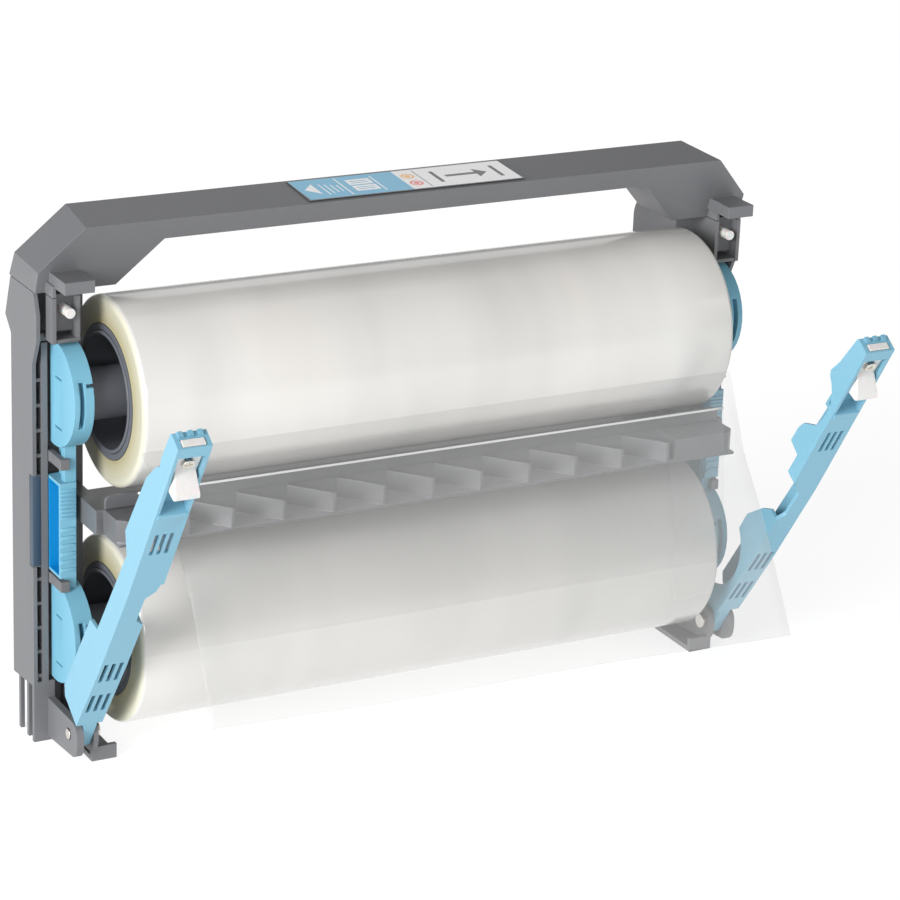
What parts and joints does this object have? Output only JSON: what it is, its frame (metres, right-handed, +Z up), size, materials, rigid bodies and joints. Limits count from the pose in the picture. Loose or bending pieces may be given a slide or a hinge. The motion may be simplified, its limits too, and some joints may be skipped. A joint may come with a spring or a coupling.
{
  "type": "film roll refill cartridge for a roll laminator",
  "caption": "Handled cartridge frame holding clear laminating film rolls on side carriers, with a guide bar, a loose film tail and swing levers that lock the rolls in.",
  "frame": {"origin": "middle of the ground plan, on the ground under the feet", "axes": "+X along the rolls to the right seen from the front, +Y to the back, +Z up"},
  "size_m": [0.3672, 0.1976, 0.2531],
  "materials": {
    "grey_moulding": "fine-textured mid grey moulding",
    "blue_moulding": "satin light blue moulding",
    "white_plastic": "translucent off-white plastic",
    "core_plastic": "dark grey satin plastic",
    "film_roll": "tightly wound clear film, milky white with a soft sheen",
    "clear_film": "thin clear film, slightly hazy",
    "label_print": "printed label, cyan and white",
    "pin_steel": "nickel-plated steel"
  },
  "bodies": {
    "frame": {"handle_frame": "grey_moulding", "handle_label": "label_print", "side_post_right": "grey_moulding", "docking_peg_right": "white_plastic", "pivot_pin_right": "pin_steel", "keeper_upper_right": "grey_moulding", "keeper_lower_right": "grey_moulding", "roll_carrier_right": "blue_moulding", "hub_upper_right": "core_plastic", "hub_lower_right": "core_plastic", "side_post_left": "grey_moulding", "docking_peg_left": "white_plastic", "pivot_pin_left": "pin_steel", "keeper_upper_left": "grey_moulding", "keeper_lower_left": "grey_moulding", "roll_carrier_left": "blue_moulding", "hub_upper_left": "core_plastic", "hub_lower_left": "core_plastic", "guide_bar": "grey_moulding", "guide_lip": "grey_moulding", "film_tail": "clear_film", "film_web": "clear_film"},
    "upper_roll": {"upper_film_winding": "film_roll", "upper_core": "core_plastic", "upper_end_cup_right": "core_plastic", "upper_end_cup_left": "core_plastic"},
    "lower_roll": {"lower_film_winding": "film_roll", "lower_core": "core_plastic", "lower_end_cup_right": "core_plastic", "lower_end_cup_left": "core_plastic"},
    "lever_right": {"lever_right": "blue_moulding", "lever_pad_right": "white_plastic", "latch_screw_right": "pin_steel"},
    "latch_right": {"latch_right": "white_plastic"},
    "lever_left": {"lever_left": "blue_moulding", "lever_pad_left": "white_plastic", "latch_screw_left": "pin_steel"},
    "latch_left": {"latch_left": "white_plastic"}
  },
  "joints": [
    {"name": "lever_right_swing", "type": "hinge", "parent": "frame", "child": "lever_right", "pos_m": [0.17, 0.02476, 0.014], "axis": [1, 0, 0], "range_deg": [-31.6, 0]},
    {"name": "latch_right_slide", "type": "slide", "parent": "lever_right", "child": "latch_right", "axis": [0, 0.5736, -0.8192], "range_m": [0, 0.0035], "stiffness_N_per_m": 400},
    {"name": "lever_left_swing", "type": "hinge", "parent": "frame", "child": "lever_left", "pos_m": [-0.17, 0.02476, 0.014], "axis": [1, 0, 0], "range_deg": [-31.6, 0]},
    {"name": "latch_left_slide", "type": "slide", "parent": "lever_left", "child": "latch_left", "axis": [0, 0.5736, -0.8192], "range_m": [0, 0.0035], "stiffness_N_per_m": 400},
    {"name": "upper_roll_spin", "type": "hinge", "parent": "frame", "child": "upper_roll", "pos_m": [0, 0.03936, 0.1717], "axis": [1, 0, 0], "continuous": true},
    {"name": "lower_roll_spin", "type": "hinge", "parent": "frame", "child": "lower_roll", "pos_m": [0, 0.03936, 0.0566], "axis": [1, 0, 0], "continuous": true}
  ]
}
